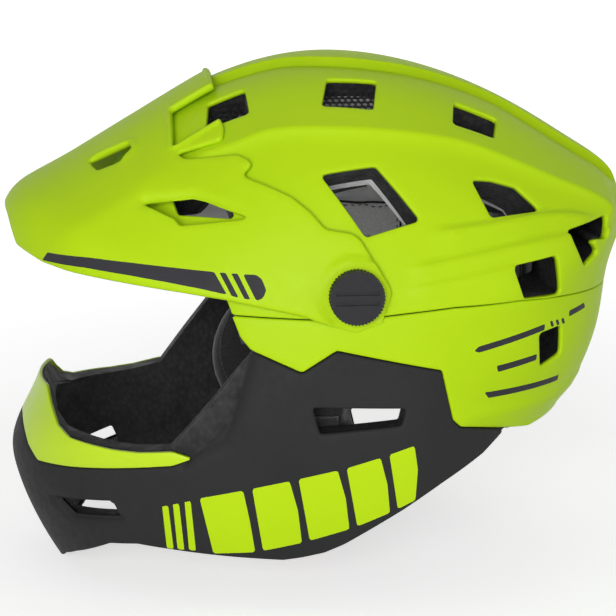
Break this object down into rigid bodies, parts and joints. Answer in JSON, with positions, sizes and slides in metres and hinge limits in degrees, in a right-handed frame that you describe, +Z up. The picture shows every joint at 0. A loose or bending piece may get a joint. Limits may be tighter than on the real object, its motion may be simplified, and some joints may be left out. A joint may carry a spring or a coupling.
{
  "type": "downhill bike full face helmet",
  "caption": "Full face downhill bike helmet with a vented crown, a fixed chin bar, a tilting visor on thumb screws and a buckled chin strap.",
  "frame": {"origin": "on the ground plane below the middle of the helmet's length and width, at the lowest point of the chin bar", "axes": "+X towards the back of the head, -X the way the wearer looks, -Y the wearer's left, +Z up"},
  "size_m": [0.3343, 0.2522, 0.2743],
  "materials": {
    "lime": "satin",
    "dark": "matte",
    "foam": "matte",
    "trim": "matte",
    "screw": "matte",
    "brass": "satin",
    "mesh": "matte",
    "pad": "matte",
    "buckle": "satin",
    "webbing": "matte",
    "steel": "satin",
    "lever": "satin"
  },
  "bodies": {
    "helmet": {"upper_shell": "lime", "lower_shell": "lime", "chin_bar_shell": "dark", "chin_bar_inlay": "lime", "crown_liner_left": "foam", "crown_liner_right": "foam", "jaw_liner": "foam", "chin_trim": "trim", "neck_trim": "trim", "visor_insert_left": "brass", "visor_insert_right": "brass", "front_vent_mesh_left": "mesh", "front_vent_mesh_right": "mesh", "top_vent_mesh_left": "mesh", "top_vent_mesh_right": "mesh", "brow_pad": "pad", "crown_pad": "pad", "crown_side_pad_left": "pad", "crown_side_pad_right": "pad", "temple_pad_left": "pad", "temple_pad_right": "pad", "nape_pad": "pad", "cheek_pad_left": "pad", "cheek_pad_right": "pad", "cheek_pad_snaps": "buckle", "chin_strap_left": "webbing", "chin_strap_right": "webbing", "strap_rivets": "steel", "strap_pad": "pad", "buckle_body": "buckle", "buckle_pin": "steel", "buckle_tongue": "buckle"},
    "visor": {"visor": "lime", "visor_washer_left": "trim", "visor_washer_right": "trim"},
    "screw_left": {"visor_screw_left": "screw"},
    "screw_right": {"visor_screw_right": "screw"},
    "release_lever": {"buckle_lever": "lever"}
  },
  "joints": [
    {"name": "visor_tilt", "type": "hinge", "parent": "helmet", "child": "visor", "pos_m": [0.007, 0, 0.1674], "axis": [0, 1, 0], "range_deg": [-2, 14]},
    {"name": "visor_screw_left_turn", "type": "hinge", "parent": "helmet", "child": "screw_left", "pos_m": [0.007, 0, 0.1674], "axis": [0, 1, 0], "continuous": true},
    {"name": "visor_screw_right_turn", "type": "hinge", "parent": "helmet", "child": "screw_right", "pos_m": [0.007, 0, 0.1674], "axis": [0, 1, 0], "continuous": true},
    {"name": "buckle_lever_press", "type": "hinge", "parent": "helmet", "child": "release_lever", "pos_m": [-0.009, -0.0185, 0.026], "axis": [1, 0, 0], "range_deg": [0, 35], "stiffness_Nm_per_rad": 0.01}
  ]
}
